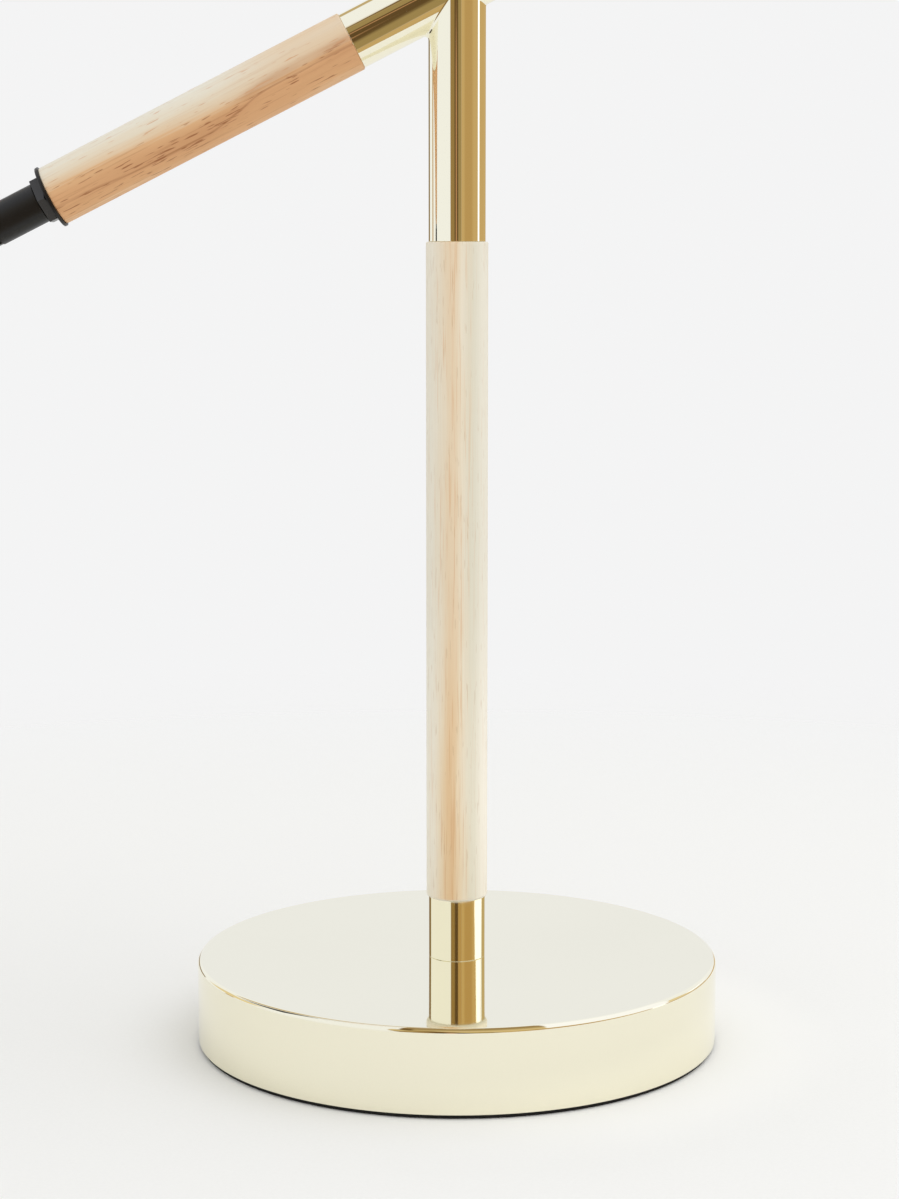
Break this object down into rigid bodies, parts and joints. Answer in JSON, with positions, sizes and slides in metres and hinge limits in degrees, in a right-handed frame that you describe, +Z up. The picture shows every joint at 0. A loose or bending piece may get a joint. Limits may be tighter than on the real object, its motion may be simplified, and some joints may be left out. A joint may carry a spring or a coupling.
{
  "type": "adjustable desk lamp",
  "caption": "Desk lamp with a round weighted base, wood-sleeved column and fixed sloping arm, and a shade that turns and tilts on a swivel, with a push switch.",
  "frame": {"origin": "centre of the base's underside, on the column's axis", "axes": "+Z up along the column, the arm slopes down towards -X, +Y is the back with the cord inlet"},
  "size_m": [0.3634, 0.1696, 0.3582],
  "materials": {
    "gold": "polished pale gold plating",
    "column_wood": "pale turned wood, clear matt lacquer",
    "arm_wood": "pale to tan turned wood, clear matt lacquer",
    "black_metal": "satin black",
    "shade": "matt black outside, white inside",
    "steel": "zinc plated",
    "iron": "as cast",
    "pad": "matt black foam rubber",
    "brass": "turned brass",
    "cream_plastic": "moulded",
    "lead": "sleeved flex",
    "fibre": "fibre washer",
    "opal_glass": "opal",
    "switch": "moulded satin black"
  },
  "bodies": {
    "stand": {"base_cover": "gold", "lower_ferrule": "gold", "tee_joint": "gold", "tail_cap": "gold", "column_wood": "column_wood", "arm_wood": "arm_wood", "end_washer": "black_metal", "lock_nut": "black_metal", "base_washer": "steel", "base_nut": "steel", "column_rod": "steel", "arm_rod": "steel", "base_weight": "iron", "base_pad": "pad", "cord_grommet": "pad", "terminal_screws": "brass", "column_bush": "brass", "arm_bush": "brass", "terminal_block": "cream_plastic", "inner_lead": "lead"},
    "swivel": {"swivel_base": "black_metal"},
    "head": {"swivel_fork": "black_metal", "pivot_screw": "black_metal", "pivot_nut": "black_metal", "shade_washer": "black_metal", "shade": "shade", "nipple": "steel", "shade_nut": "steel", "bulb_cap": "steel", "screw_shell": "brass", "centre_contact": "brass", "holder_cap": "cream_plastic", "holder_body": "cream_plastic", "head_lead": "lead", "switch_lead": "lead", "friction_washers": "fibre", "bulb_glass": "opal_glass", "switch_body": "switch", "switch_nut": "switch"},
    "switch": {"switch_button": "switch"}
  },
  "joints": [
    {"name": "head_turn", "type": "hinge", "parent": "stand", "child": "swivel", "pos_m": [-0.13047, 0, 0.26901], "axis": [-0.8918, 0, -0.4524], "range_deg": [-150, 150]},
    {"name": "head_tilt", "type": "hinge", "parent": "swivel", "child": "head", "pos_m": [-0.15223, 0, 0.25797], "axis": [0, 1, 0], "range_deg": [-62, 108]},
    {"name": "switch_press", "type": "slide", "parent": "head", "child": "switch", "axis": [0.5118, 0, -0.8591], "range_m": [0, 0.002], "stiffness_N_per_m": 400, "springref_m": -0.001}
  ]
}
